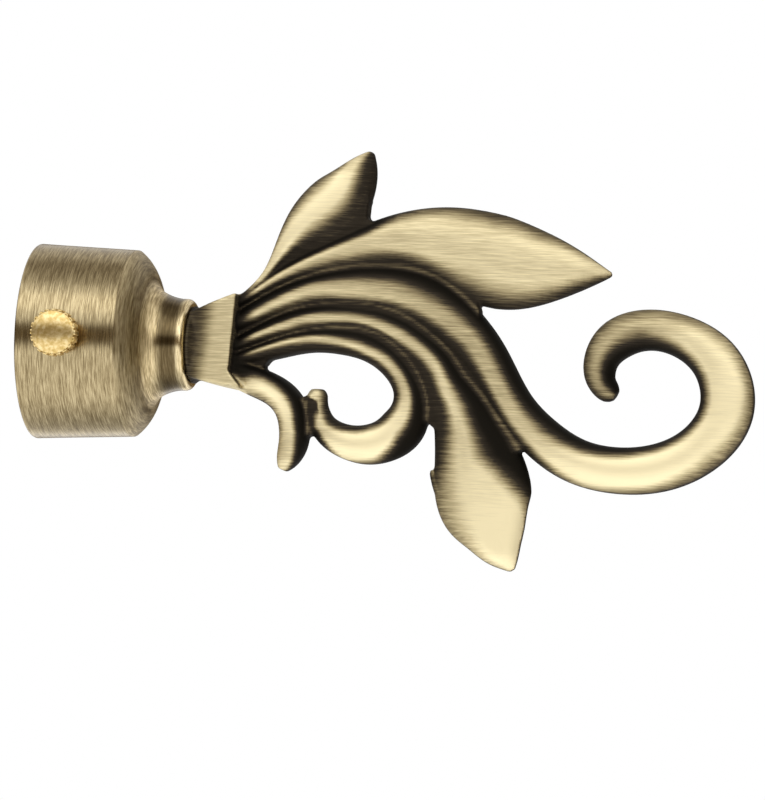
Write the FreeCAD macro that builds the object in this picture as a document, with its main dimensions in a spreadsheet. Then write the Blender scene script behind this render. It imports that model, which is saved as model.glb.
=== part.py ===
import FreeCAD, Part
import math
import os
import Sketcher
from FreeCAD import Placement, Rotation, Vector

# A curtain pole finial in antique brass: a turned socket cap that slips over the end of a 28 mm pole,
# a cast scroll leaf screwed to its small end, and a knurled thumb screw that clamps the pole.
# X runs along the pole from the socket's mouth out to the scroll, Z is up, and the leaf lies in the XZ plane.
# Lengths are in millimetres.

doc = FreeCAD.newDocument("scroll_leaf_finial")

# Driving dimensions

driving = {
    # Socket cap
    "pole_bore_diameter": (28.4, "bore of the socket, for a 28 mm pole"),
    "mouth_wall": (1.3, "wall at the mouth"),
    "barrel_length": (16.0, "mouth to the start of the shoulder"),
    "bore_stop_inset": (1.0, "how far the bore ends short of the shoulder"),
    "barrel_taper": (0.65, "how much the barrel's radius falls over its length"),
    "shoulder_length": (3.2, "convex shoulder, along the axis"),
    "shoulder_foot_radius": (9.8, "radius at the crease between shoulder and cove"),
    "shoulder_break_length": (1.9, "barrel's end to the break in the shoulder"),
    "shoulder_break_radius": (13.2, "radius at the break in the shoulder"),
    "cove_length": (4.4, "concave cove, along the axis"),
    "cove_break_length": (1.7, "crease to the break in the cove"),
    "cove_break_radius": (8.3, "radius at the break in the cove"),
    "nose_radius": (7.3, "radius at the cove's small end"),
    "nose_length": (1.8, "cove's small end to the end face"),
    "nose_bevel": (1.0, "bevel of the nose's edge"),
    "recess_diameter": (11.0, "recess for the assembly screw's head"),
    "end_wall": (3.8, "wall that the assembly screw clamps"),
    "mouth_bevel": (0.35, "broken edge round the mouth"),
    # Thumb screw
    "thumb_screw_place": (7.4, "mouth to the thumb screw's axis"),
    "thumb_screw_diameter": (4.0, "thread's outside diameter"),
    "thumb_screw_reach": (3.0, "underside of the head to the tip"),
    "thumb_tip_chamfer": (0.4, "chamfer at the tip"),
    "thumb_head_diameter": (7.5, "knurled head"),
    "thumb_head_height": (2.4, "knurled rim"),
    "thumb_rim_chamfer": (0.35, "chamfer round the head"),
    "thumb_dome_height": (0.6, "raised face above the rim"),
    "thumb_face_diameter": (3.6, "flat in the middle of the raised face"),
    "knurl_width": (0.9, "width of a knurl groove at the rim"),
    "knurl_depth": (0.4, "depth of a knurl groove"),
    "knurl_count": (16, "grooves round the head"),
    "thread_clearance": (0.05, "radial room round a screw in its thread"),
    "tip_clearance": (0.1, "tip of the thumb screw short of the bore"),
    # Assembly screw and washer
    "assembly_screw_diameter": (5.0, "machine screw that joins cap and leaf"),
    "assembly_screw_length": (10.0, "below the head"),
    "screw_head_diameter": (9.2, "pan head"),
    "screw_head_height": (2.6, "pan head"),
    "screw_head_chamfer": (0.8, "bevel of the pan head"),
    "drive_arm_width": (1.1, "each arm of the cross recess"),
    "drive_span": (5.0, "tip to tip of the cross recess"),
    "drive_depth": (1.6, "depth of the cross recess"),
    "screw_hole_clearance": (0.2, "radial room in the end wall"),
    "screw_end_room": (0.4, "thread hole past the screw's end"),
    "washer_diameter": (8.8, "spring washer, outside"),
    "washer_thickness": (1.1, "spring washer"),
    "washer_split": (0.6, "gap in the spring washer"),
    "washer_clearance": (0.1, "radial room between washer and screw"),
    # Neck of the leaf
    "foot_radius": (6.2, "round foot that seats on the nose"),
    "foot_thickness": (1.0, "round foot"),
    "neck_length": (7.9, "seat on the nose to the collar"),
    "neck_root_top": (5.0, "neck above the axis, at the cap"),
    "neck_root_bottom": (5.2, "neck below the axis, at the cap"),
    "neck_root_half_depth": (4.3, "half of the neck's depth, at the cap"),
    "collar_top": (8.2, "neck above the axis, at the collar"),
    "collar_bottom": (7.1, "neck below the axis, at the collar"),
    "collar_half_depth": (5.4, "half of the neck's depth, at the collar"),
    "collar_nick_drop": (4.3, "axis to the nick in the collar's edge"),
    "collar_nick_depth": (0.8, "how far the nick lies behind the collar's top"),
    "collar_toe": (1.5, "how far the collar's lower corner runs past its top"),
    "neck_curve_radius": (24.0, "radius of the neck's bowed outlines"),
    "neck_edge_bevel": (0.6, "bevel of the neck's long edges"),
    # Relief of the leaf
    "leaf_length": (84.2, "collar to the far side of the large scroll"),
    "web_half_depth": (1.6, "half of the plate in the valleys"),
    "root_half_depth": (3.4, "half depth of a rib where it leaves the collar"),
    "full_half_depth": (4.5, "half depth of a rib past its rise"),
    "rise_length": (7.0, "length over which a rib rises from the collar"),
    "narrow_rib_extra": (2.6, "extra half depth that lets a narrow root stand above the plate"),
    "narrow_rib_length": (26.0, "length over which that extra dies away"),
    "stem_end_half_depth": (3.3, "half depth at the end of the large scroll"),
    "curl_end_half_depth": (2.9, "half depth at the end of the small scroll"),
    "leaf_end_half_depth": (2.6, "half depth towards a leaf's tip"),
}

sheet = doc.addObject("Spreadsheet::Sheet", "Dimensions")
for row, (alias, (value, note)) in enumerate(driving.items(), start=1):
    sheet.set(f"A{row}", alias)
    sheet.set(f"B{row}", str(value))
    sheet.set(f"C{row}", note)
    sheet.setAlias(f"B{row}", alias)
doc.recompute()


def size(alias):
    return float(getattr(sheet, alias))


# Ties a property to the sheet. Names in braces are aliases, such as {neck_length} / 2.
def bind(thing, prop, formula):
    thing.setExpression(prop, formula.replace("{", "Dimensions.").replace("}", ""))


# Places that several pieces share, as formulas

socketLength = "{barrel_length} + {shoulder_length} + {cove_length} + {nose_length}"
boreDepth = "{barrel_length} - {bore_stop_inset}"
mouthRadius = "{pole_bore_diameter} / 2 + {mouth_wall}"
screwHeadSeat = socketLength + " - {end_wall} - {washer_thickness}"
threadHoleRadius = "{assembly_screw_diameter} / 2 + {thread_clearance}"

# Sketch helpers


def planeOf(body, role):
    return next(f for f in body.Origin.OriginFeatures if f.Role == role)


def newBody(label):
    body = doc.addObject("PartDesign::Body", label)
    body.Label = label
    return body


def newSketch(body, name, role):
    sketch = body.newObject("Sketcher::SketchObject", name)
    sketch.AttachmentSupport = [(planeOf(body, role), "")]
    sketch.MapMode = "FlatFace"
    return sketch


# Holds one end of a sketch line, or a circle's centre, at two distances from the sketch's origin.
def fixPoint(sketch, geometry, end, name, across, up):
    for kind, suffix, formula in (("DistanceX", "x", across), ("DistanceY", "y", up)):
        index = sketch.addConstraint(Sketcher.Constraint(kind, -1, 1, geometry, end, 0.0))
        sketch.renameConstraint(index, f"{name}_{suffix}")
        bind(sketch, f"Constraints.{name}_{suffix}", formula)


# A closed outline of straight sides through named corners, each (name, across, up).
def closedOutline(sketch, corners):
    count = len(corners)
    turns = [2 * math.pi * i / count for i in range(count)]
    guess = [Vector(math.cos(a), math.sin(a), 0) for a in turns]
    for i in range(count):
        sketch.addGeometry(Part.LineSegment(guess[i], guess[(i + 1) % count]), False)
    for i in range(count):
        sketch.addConstraint(Sketcher.Constraint("Coincident", i, 2, (i + 1) % count, 1))
    for i, (name, across, up) in enumerate(corners):
        fixPoint(sketch, i, 1, name, across, up)
    doc.recompute()


# Turns a straight side into an arc. Its centre lies left or right of the way from the side's start to its end.
def bowSide(sketch, side, name, radius, centreOnLeft):
    start = sketch.Geometry[side].StartPoint
    end = sketch.Geometry[side].EndPoint
    sketch.toggleConstruction(side)
    if not centreOnLeft:
        start, end = end, start
    chord = end - start
    toLeft = Vector(-chord.y, chord.x, 0).normalize()
    guessRadius = 1.5 * chord.Length
    centre = (start + end) / 2 + toLeft * math.sqrt(guessRadius ** 2 - chord.Length ** 2 / 4)
    circle = Part.Circle(centre, Vector(0, 0, 1), guessRadius)
    arc = sketch.addGeometry(Part.ArcOfCircle(circle, circle.parameter(start), circle.parameter(end)), False)
    ends = (1, 2) if centreOnLeft else (2, 1)
    sketch.addConstraint(Sketcher.Constraint("Coincident", arc, ends[0], side, 1))
    sketch.addConstraint(Sketcher.Constraint("Coincident", arc, ends[1], side, 2))
    index = sketch.addConstraint(Sketcher.Constraint("Radius", arc, guessRadius))
    sketch.renameConstraint(index, name)
    bind(sketch, f"Constraints.{name}", radius)
    doc.recompute()


def circleIn(sketch, name, across, up, radius):
    circle = sketch.addGeometry(Part.Circle(Vector(1, 1, 0), Vector(0, 0, 1), 1), False)
    fixPoint(sketch, circle, 3, name, across, up)
    index = sketch.addConstraint(Sketcher.Constraint("Radius", circle, 1.0))
    sketch.renameConstraint(index, f"{name}_radius")
    bind(sketch, f"Constraints.{name}_radius", radius)


def revolve(body, sketch, name, axis):
    turned = body.newObject("PartDesign::Revolution", name)
    turned.Profile = sketch
    turned.ReferenceAxis = (sketch, [axis])
    turned.Angle = 360
    sketch.Visibility = False
    doc.recompute()
    return turned


def pocket(body, sketch, name, depth):
    cut = body.newObject("PartDesign::Pocket", name)
    cut.Profile = sketch
    cut.Reversed = True
    bind(cut, "Length", depth)
    sketch.Visibility = False
    doc.recompute()
    return cut


# Socket cap: a turned shell with a bore for the pole, a shoulder, a cove and a round nose

cap = newBody("socket_cap")
capProfile = newSketch(cap, "cap_profile", "XZ_Plane")
closedOutline(capProfile, [
    ("bore_mouth", "0", "{pole_bore_diameter} / 2"),
    ("bore_end", boreDepth, "{pole_bore_diameter} / 2"),
    ("recess_mouth", boreDepth, "{recess_diameter} / 2"),
    ("recess_end", socketLength + " - {end_wall}", "{recess_diameter} / 2"),
    ("hole_start", socketLength + " - {end_wall}", "{assembly_screw_diameter} / 2 + {screw_hole_clearance}"),
    ("hole_end", socketLength, "{assembly_screw_diameter} / 2 + {screw_hole_clearance}"),
    ("end_face_edge", socketLength, "{nose_radius} - {nose_bevel}"),
    ("nose_crown", socketLength + " - {nose_bevel}", "{nose_radius}"),
    ("cove_end", socketLength + " - {nose_length}", "{nose_radius}"),
    ("cove_break", "{barrel_length} + {shoulder_length} + {cove_break_length}", "{cove_break_radius}"),
    ("crease", "{barrel_length} + {shoulder_length}", "{shoulder_foot_radius}"),
    ("shoulder_break", "{barrel_length} + {shoulder_break_length}", "{shoulder_break_radius}"),
    ("shoulder_start", "{barrel_length}", mouthRadius + " - {barrel_taper}"),
    ("mouth_crown", "{mouth_bevel}", mouthRadius),
    ("mouth_face_edge", "0", mouthRadius + " - {mouth_bevel}"),
])
capShell = revolve(cap, capProfile, "cap_shell", "H_Axis")


tapping = newSketch(cap, "thumb_screw_hole", "XZ_Plane")
circleIn(tapping, "hole", "{thumb_screw_place}", "0", "{thumb_screw_diameter} / 2 + {thread_clearance}")
boredCap = pocket(cap, tapping, "thumb_screw_bore", mouthRadius + " + {mouth_wall}")
if not boredCap.Shape.Volume < capShell.Shape.Volume:
    raise RuntimeError("the thumb screw's hole doesn't cut the wall")

# Thumb screw: short threaded shank, knurled head with a domed face, its axis along Z until it is placed

thumb = newBody("thumb_screw")
thumbProfile = newSketch(thumb, "thumb_profile", "XZ_Plane")
closedOutline(thumbProfile, [
    ("tip_centre", "0", "-{thumb_screw_reach}"),
    ("tip_edge", "{thumb_screw_diameter} / 2 - {thumb_tip_chamfer}", "-{thumb_screw_reach}"),
    ("shank_end", "{thumb_screw_diameter} / 2", "{thumb_tip_chamfer} - {thumb_screw_reach}"),
    ("shank_root", "{thumb_screw_diameter} / 2", "0"),
    ("head_under", "{thumb_head_diameter} / 2", "0"),
    ("rim_over", "{thumb_head_diameter} / 2", "{thumb_head_height} - {thumb_rim_chamfer}"),
    ("dome_edge", "{thumb_head_diameter} / 2 - {thumb_rim_chamfer}", "{thumb_head_height}"),
    ("face_edge", "{thumb_face_diameter} / 2", "{thumb_head_height} + {thumb_dome_height}"),
    ("face_centre", "0", "{thumb_head_height} + {thumb_dome_height}"),
])
thumbTurned = revolve(thumb, thumbProfile, "thumb_turned", "V_Axis")
groove = newSketch(thumb, "knurl_groove", "XY_Plane")
closedOutline(groove, [
    ("bottom", "{thumb_head_diameter} / 2 - {knurl_depth}", "0"),
    ("right", "{thumb_head_diameter} / 2 + {knurl_depth}", "-{knurl_width}"),
    ("left", "{thumb_head_diameter} / 2 + {knurl_depth}", "{knurl_width}"),
])
knurl = pocket(thumb, groove, "knurl", "{thumb_head_height} + {thumb_dome_height}")
if not knurl.Shape.Volume < thumbTurned.Shape.Volume:
    raise RuntimeError("the knurl doesn't cut the head")
knurls = thumb.newObject("PartDesign::PolarPattern", "knurls")
knurls.Originals = [knurl]
knurls.Axis = (groove, ["N_Axis"])
knurls.Angle = 360
bind(knurls, "Occurrences", "{knurl_count}")
thumb.Tip = knurls
thumb.Placement = Placement(Vector(), Rotation(Vector(1, 0, 0), 90))
bind(thumb, "Placement.Base.x", "{thumb_screw_place}")
bind(thumb, "Placement.Base.y", "-({pole_bore_diameter} / 2 + {tip_clearance} + {thumb_screw_reach})")

# Assembly screw: pan head in the cap's recess, with a cross recess, threaded into the neck

screw = newBody("assembly_screw")
screwProfile = newSketch(screw, "screw_profile", "XZ_Plane")
closedOutline(screwProfile, [
    ("head_centre", "-{screw_head_height}", "0"),
    ("end_centre", "{assembly_screw_length}", "0"),
    ("end_edge", "{assembly_screw_length}", "{assembly_screw_diameter} / 2"),
    ("under_head", "0", "{assembly_screw_diameter} / 2"),
    ("head_rim", "0", "{screw_head_diameter} / 2"),
    ("head_shoulder", "{screw_head_chamfer} - {screw_head_height}", "{screw_head_diameter} / 2"),
    ("head_face_edge", "-{screw_head_height}", "{screw_head_diameter} / 2 - {screw_head_chamfer}"),
])
screwTurned = revolve(screw, screwProfile, "screw_turned", "H_Axis")
cross = newSketch(screw, "cross_recess", "YZ_Plane")
bind(cross, "AttachmentOffset.Base.z", "-{screw_head_height}")
arm = "{drive_arm_width} / 2"
reach = "{drive_span} / 2"
closedOutline(cross, [
    ("right_low", reach, "-" + arm), ("right_high", reach, arm), ("notch_right_high", arm, arm),
    ("top_right", arm, reach), ("top_left", "-" + arm, reach), ("notch_left_high", "-" + arm, arm),
    ("left_high", "-" + reach, arm), ("left_low", "-" + reach, "-" + arm), ("notch_left_low", "-" + arm, "-" + arm),
    ("bottom_left", "-" + arm, "-" + reach), ("bottom_right", arm, "-" + reach), ("notch_right_low", arm, "-" + arm),
])
crossCut = pocket(screw, cross, "cross_cut", "{drive_depth}")
if not crossCut.Shape.Volume < screwTurned.Shape.Volume:
    raise RuntimeError("the cross recess doesn't cut the screw's head")
bind(screw, "Placement.Base.x", screwHeadSeat)

# Spring washer: a split ring between the screw's head and the end wall

alongX = Rotation(Vector(0, 1, 0), 90)


def rodAlongX(name, radius, start, length):
    rod = doc.addObject("Part::Cylinder", name)
    rod.Placement = Placement(Vector(), alongX)
    bind(rod, "Radius", radius)
    bind(rod, "Height", length)
    bind(rod, "Placement.Base.x", start)
    return rod


washerDisc = rodAlongX("washer_disc", "{washer_diameter} / 2", screwHeadSeat, "{washer_thickness}")
washerHoleRadius = "{assembly_screw_diameter} / 2 + {washer_clearance}"
washerHole = rodAlongX("washer_hole", washerHoleRadius, screwHeadSeat, "{washer_thickness}")
washerRing = doc.addObject("Part::Cut", "washer_ring")
washerRing.Base = washerDisc
washerRing.Tool = washerHole
washerGap = doc.addObject("Part::Box", "washer_gap")
bind(washerGap, "Length", "{washer_thickness}")
bind(washerGap, "Width", "{washer_split}")
bind(washerGap, "Height", "{washer_diameter}")
bind(washerGap, "Placement.Base.x", screwHeadSeat)
bind(washerGap, "Placement.Base.y", "-{washer_split} / 2")
washer = doc.addObject("Part::Cut", "spring_washer")
washer.Label = "spring_washer"
washer.Base = washerRing
washer.Tool = washerGap

# Neck of the leaf: its side outline and its plan outline, each drawn through, and what both enclose

seatX = socketLength
collarX = socketLength + " + {neck_length}"


def drawnSolid(name, role, corners, bows, depth):
    body = newBody(name)
    sketch = newSketch(body, name + "_outline", role)
    closedOutline(sketch, corners)
    for side, radius in bows:
        bowSide(sketch, side, f"bow_{side}", radius, False)
    solid = body.newObject("PartDesign::Pad", name + "_pad")
    solid.Profile = sketch
    solid.Midplane = True
    bind(solid, "Length", depth)
    sketch.Visibility = False
    return body


neckSide = drawnSolid("neck_side", "XZ_Plane", [
    ("root_bottom", seatX, "-{neck_root_bottom}"),
    ("root_top", seatX, "{neck_root_top}"),
    ("collar_top", collarX, "{collar_top}"),
    ("collar_nick", collarX + " - {collar_nick_depth}", "-{collar_nick_drop}"),
    ("collar_toe", collarX + " + {collar_toe}", "-{collar_bottom}"),
], [(1, "{neck_curve_radius}"), (4, "{neck_curve_radius}")], "2 * {collar_half_depth}")
neckPlan = drawnSolid("neck_plan", "XY_Plane", [
    ("root_front", seatX, "-{neck_root_half_depth}"),
    ("root_back", seatX, "{neck_root_half_depth}"),
    ("toe_back", collarX + " + {collar_toe}", "{collar_half_depth}"),
    ("toe_front", collarX + " + {collar_toe}", "-{collar_half_depth}"),
], [], "2 * {collar_top} + 2 * {collar_bottom}")
neckCore = doc.addObject("Part::Common", "neck_core")
neckCore.Base = neckSide
neckCore.Tool = neckPlan
doc.recompute()


# A long edge of the neck runs from the seat to the collar along one of its four corners.
def isLongEdge(edge):
    box = edge.BoundBox
    starts = abs(box.XMin - neckCore.Shape.BoundBox.XMin) < 0.01
    return starts and box.XLength > size("neck_length") / 2


longEdges = [i for i, edge in enumerate(neckCore.Shape.Edges, start=1) if isLongEdge(edge)]
neck = doc.addObject("Part::Chamfer", "neck")
neck.Base = neckCore
neck.Edges = [(i, size("neck_edge_bevel"), size("neck_edge_bevel")) for i in longEdges]
foot = rodAlongX("neck_foot", "{foot_radius}", seatX, "{foot_thickness}")

# Ribs of the leaf. Each follows a centre line in the XZ plane, drawn with the mouth of the socket at X = 0,
# the collar at X = 33.3 and a leaf 84.2 long, and each station is (x, z, half width, crest, hollow).
# The crest is where the ridge stands between the left edge (-1) and the right edge (1) of the rib,
# seen on the way from its root to its tip, and the hollow is how much its right flank is dished.

drawnCollarX = 33.3
drawnLeafLength = 84.2

ribs = {
    "upper_leaflet": [
        (30.8, 5.6, 0.6), (33.6, 8.4, 0.6), (36.4, 11.2, 0.8), (39.7, 15.8, 2.2), (43.6, 20.0, 3.8),
        (48.5, 24.3, 4.7), (50.9, 27.4, 3.3), (52.6, 30.3, 1.4), (53.3, 31.4, 0.4),
    ],
    "right_leaf": [
        (30.6, 5.6, 0.8), (34.0, 7.3, 0.8), (39.1, 10.6, 1.4), (44.2, 13.3, 2.0), (50.3, 15.9, 2.9),
        (58.4, 17.7, 4.3), (66.7, 17.0, 6.4), (75.0, 14.6, 7.5), (83.2, 13.9, 5.4), (88.1, 13.7, 3.2),
        (91.2, 13.4, 1.5), (93.2, 13.2, 0.3),
    ],
    "stem_scroll": [
        (30.6, 2.4, 1.6), (33.8, 4.2, 1.6), (39.2, 7.1, 2.0), (44.4, 9.2, 2.2), (50.6, 10.1, 2.9),
        (56.5, 10.1, 3.3), (62.8, 8.4, 4.0), (68.9, 4.0, 4.1), (73.0, -0.3, 3.8), (78.6, -8.7, 3.3),
        (82.8, -13.0, 3.5), (88.7, -16.7, 3.6), (95.1, -18.1, 3.7), (102.5, -17.5, 3.9), (108.6, -14.6, 4.1),
        (113.1, -8.2, 4.5), (111.1, -0.4, 4.1), (104.8, 3.7, 3.4), (98.4, 4.3, 3.3), (94.1, 2.3, 3.2),
        (92.1, -0.9, 2.7), (92.2, -3.8, 2.4), (92.9, -5.0, 2.1), (93.8, -5.8, 1.3), (94.2, -6.2, 0.6),
    ],
    "lower_leaf": [
        (30.6, -1.4, 1.3), (34.6, 0.9, 1.3), (39.6, 3.1, 1.8), (44.6, 4.8, 1.9), (50.8, 5.3, 2.0),
        (54.6, 4.8, 2.2), (58.2, 3.6, 2.4), (62.5, 0.7, 2.7), (65.4, -2.4, 3.2, 0.0, 0.1),
        (67.2, -5.8, 3.8, 0.0, 0.2), (69.5, -9.5, 4.6, -0.15, 0.3), (71.3, -13.5, 5.7, -0.3, 0.35),
        (72.6, -17.1, 7.2, -0.2, 0.3), (73.3, -21.1, 7.8, 0.0, 0.2), (74.1, -25.1, 7.5, 0.2, 0.1),
        (75.3, -28.6, 5.7, 0.35), (76.5, -31.4, 4.0, 0.5), (77.8, -33.5, 1.9, 0.5), (78.5, -34.4, 0.6, 0.5),
    ],
    "small_scroll": [
        (31.0, -3.0, 1.3), (35.3, -1.6, 1.3), (39.7, -0.2, 1.6), (44.7, 1.0, 1.8), (50.1, 1.2, 2.2),
        (54.0, 0.5, 2.4), (57.0, -1.1, 2.4), (59.4, -3.4, 2.4), (61.0, -6.2, 2.6), (61.3, -9.4, 3.2),
        (60.1, -12.3, 3.7), (57.6, -14.3, 3.5), (54.5, -15.1, 3.2), (51.5, -14.8, 2.8), (49.2, -13.9, 2.5),
        (47.5, -12.5, 2.2), (46.6, -10.3, 1.8), (46.5, -8.2, 1.5), (46.4, -7.0, 1.2), (46.4, -6.6, 0.6),
    ],
    "tendril": [
        (30.2, -3.8, 2.2, -0.35), (32.5, -4.4, 2.2, -0.35), (35.9, -5.6, 2.4, -0.35), (39.4, -7.1, 2.6, -0.35),
        (41.6, -9.3, 2.7, -0.35), (42.4, -12.3, 2.6, -0.35), (42.4, -15.2, 2.5, -0.35),
        (41.5, -17.8, 2.0, -0.35), (41.0, -19.1, 0.8, -0.35),
    ],
}
endHalfDepths = {
    "upper_leaflet": "leaf_end_half_depth",
    "right_leaf": "leaf_end_half_depth",
    "stem_scroll": "stem_end_half_depth",
    "lower_leaf": "leaf_end_half_depth",
    "small_scroll": "curl_end_half_depth",
    "tendril": "leaf_end_half_depth",
}
# Outline of the plate between the ribs: up the upper leaflet, along the notches between the leaves,
# round the small scroll's arch and back under the tendril.
webOutline = [
    (30.0, 7.0), (39.8, 15.3), (46.5, 22.0), (53.6, 20.3), (58.4, 17.7), (66.7, 14.0), (71.0, 9.8),
    (72.0, 7.0), (73.0, -0.3), (78.6, -8.7), (81.5, -13.5), (80.1, -15.8), (76.0, -16.0), (71.3, -13.5),
    (68.5, -11.0), (65.2, -11.7), (62.0, -9.0), (59.4, -3.4), (54.0, 0.5), (44.7, 1.0), (39.7, -0.2),
    (37.4, -3.2), (39.4, -7.1), (42.2, -9.0), (44.6, -7.6), (46.4, -8.5), (46.8, -11.0), (45.6, -14.0),
    (42.4, -13.5), (40.8, -9.5), (35.9, -5.6), (31.0, -4.0),
]
ribSides = 8
widthToDepthLimit = 0.95

leafScale = size("leaf_length") / drawnLeafLength
collarPlaceX = sum(size(a) for a in ("barrel_length", "shoulder_length", "cove_length", "nose_length", "neck_length"))


def inLeaf(x, z):
    return Vector(collarPlaceX + (x - drawnCollarX) * leafScale, 0, z * leafScale)


def easeIn(t):
    t = min(1, max(0, t))
    return t * t * (3 - 2 * t)


# Height of a rib's face, from 0 at its edges to 1 at the crest, at u across it from -1 to 1.
def faceHeight(u, crest, hollow):
    away = (u - crest) / (1 - crest) if u > crest else (crest - u) / (1 + crest)
    height = math.sqrt(max(0, 1 - away * away))
    if u > crest:
        height *= 1 - hollow * math.sin(math.pi * away) ** 2
    return height


def ribSolid(stations, endHalfDepth):
    centres = [inLeaf(s[0], s[1]) for s in stations]
    travel = [0]
    for before, after in zip(centres, centres[1:]):
        travel.append(travel[-1] + (after - before).Length)
    line = Part.BSplineCurve()
    line.interpolate(Points=centres, Parameters=travel)
    sections = []
    for centre, along, (x, z, halfWidth, *relief) in zip(centres, travel, stations):
        crest, hollow = (relief + [0, 0])[:2]
        tangent = line.tangent(along)[0]
        across = Vector(tangent.z, 0, -tangent.x).normalize()
        halfWidth *= leafScale
        full = size("full_half_depth")
        root = size("root_half_depth") / full
        halfDepth = full + (endHalfDepth - full) * along / travel[-1]
        halfDepth *= root + (1 - root) * easeIn(along / size("rise_length"))
        # A narrow rib stays about as deep as it is wide, but stands above the plate at its root.
        limit = widthToDepthLimit * halfWidth
        limit += size("narrow_rib_extra") * (1 - easeIn(along / size("narrow_rib_length")))
        halfDepth *= limit / (halfDepth ** 4 + limit ** 4) ** 0.25
        ring = []
        for k in range(ribSides):
            turn = 2 * math.pi * k / ribSides
            u = math.cos(turn)
            side = -1 if math.sin(turn) < 0 else 1
            lift = side * faceHeight(u, crest, hollow) * halfDepth
            ring.append(centre + across * (u * halfWidth) + Vector(0, lift, 0))
        sections.append(Part.makePolygon(ring + ring[:1]))
    return Part.makeLoft(sections, True, False, False)


leafPieces = [neck, foot]
for name, stations in ribs.items():
    rib = doc.addObject("Part::Feature", name)
    rib.Shape = ribSolid(stations, size(endHalfDepths[name]))
    leafPieces.append(rib)
webWire = doc.addObject("Part::Feature", "web_outline")
webWire.Shape = Part.makePolygon([inLeaf(x, z) for x, z in webOutline + webOutline[:1]])
web = doc.addObject("Part::Extrusion", "web")
web.Base = webWire
web.Dir = Vector(0, 1, 0)
web.DirMode = "Custom"
web.Solid = True
web.Symmetric = True
bind(web, "LengthFwd", "2 * {web_half_depth}")
leafPieces.append(web)
casting = doc.addObject("Part::MultiFuse", "leaf_casting")
casting.Shapes = leafPieces
casting.Refine = False
threadDepth = "{assembly_screw_length} - {end_wall} - {washer_thickness} + {screw_end_room}"
threadHole = rodAlongX("thread_hole", threadHoleRadius, seatX, threadDepth)
leaf = doc.addObject("Part::Cut", "scroll_leaf")
leaf.Label = "scroll_leaf"
leaf.Base = casting
leaf.Tool = threadHole
leaf.Refine = False
doc.recompute()

# Checks and output

for thing in doc.Objects:
    if "Invalid" in thing.State or "Error" in thing.State:
        raise RuntimeError(f"{thing.Name} failed: {thing.State}")

os.makedirs("parts", exist_ok=True)
for piece in (cap, leaf, thumb, screw, washer):
    shape = piece.Shape
    if shape.isNull() or not shape.isValid() or len(shape.Solids) != 1:
        raise RuntimeError(f"{piece.Label} isn't one valid solid")
    shape.exportStep(f"parts/{piece.Label}.step")
    box = shape.optimalBoundingBox(True, False)
    print(piece.Label, round(shape.Volume), len(shape.Faces), box)
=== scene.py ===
import math

import bmesh
import bpy
import numpy as np
from mathutils import Matrix, Vector


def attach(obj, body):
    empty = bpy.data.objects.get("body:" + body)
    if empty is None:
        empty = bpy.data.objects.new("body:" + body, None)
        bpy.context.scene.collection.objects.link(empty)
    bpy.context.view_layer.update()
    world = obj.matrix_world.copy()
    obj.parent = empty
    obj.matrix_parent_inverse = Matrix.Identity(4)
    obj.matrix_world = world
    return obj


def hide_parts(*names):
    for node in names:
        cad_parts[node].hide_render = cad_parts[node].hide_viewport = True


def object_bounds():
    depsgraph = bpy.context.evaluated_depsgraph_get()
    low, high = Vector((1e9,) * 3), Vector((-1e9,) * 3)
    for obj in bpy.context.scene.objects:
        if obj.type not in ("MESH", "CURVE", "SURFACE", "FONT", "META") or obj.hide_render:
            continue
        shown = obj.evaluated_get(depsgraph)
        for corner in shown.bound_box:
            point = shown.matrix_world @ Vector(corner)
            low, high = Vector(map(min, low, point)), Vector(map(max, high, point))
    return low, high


# Curtain pole finial: turned socket cap, cast scroll leaf and knurled thumb screw, all in antique brass.
# X runs from the socket's mouth out to the scroll, Z is up, and the leaf lies in the XZ plane.
# The pieces' sizes are in millimetres and are turned into metres where a mesh is made. Materials and studio
# are in metres.

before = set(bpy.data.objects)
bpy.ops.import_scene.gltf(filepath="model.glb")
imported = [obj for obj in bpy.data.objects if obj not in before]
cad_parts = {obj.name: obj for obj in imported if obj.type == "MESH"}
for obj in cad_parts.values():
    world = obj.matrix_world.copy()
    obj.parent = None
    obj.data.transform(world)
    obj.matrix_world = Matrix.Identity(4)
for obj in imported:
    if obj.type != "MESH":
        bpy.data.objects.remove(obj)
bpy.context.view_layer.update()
mm = 0.001
print("frame loaded")


# Small helpers

def newObject(name, mesh):
    obj = bpy.data.objects.new(name, mesh)
    bpy.context.scene.collection.objects.link(obj)
    return obj


def meshFrom(name, points, faces):
    mesh = bpy.data.meshes.new(name)
    mesh.from_pydata([tuple(p) for p in points], [], faces)
    return mesh


def facesOutward(mesh):
    work = bmesh.new()
    work.from_mesh(mesh)
    bmesh.ops.remove_doubles(work, verts=work.verts, dist=1e-7)
    bmesh.ops.recalc_face_normals(work, faces=work.faces)
    work.to_mesh(mesh)
    work.free()


def bakeModifiers(obj):  # the mesh becomes what the modifiers make of it
    depsgraph = bpy.context.evaluated_depsgraph_get()
    result = bpy.data.meshes.new_from_object(obj.evaluated_get(depsgraph))
    obj.modifiers.clear()
    old = obj.data
    obj.data = result
    bpy.data.meshes.remove(old)


def cutWith(obj, cutter):
    step = obj.modifiers.new("cut", "BOOLEAN")
    step.operation = "DIFFERENCE"
    step.solver = "EXACT"
    step.object = cutter
    bakeModifiers(obj)
    bpy.data.objects.remove(cutter)


def smoothShading(obj, angle):
    obj.data.shade_smooth()
    obj.data.set_sharp_from_angle(angle=math.radians(angle))


def finish(obj, material, body, slot, *nodes):
    obj.data.materials.clear()
    obj.data.materials.append(material)
    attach(obj, body)
    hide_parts(*nodes)


def easeIn(t):
    t = np.clip(t, 0, 1)
    return t * t * (3 - 2 * t)


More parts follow.
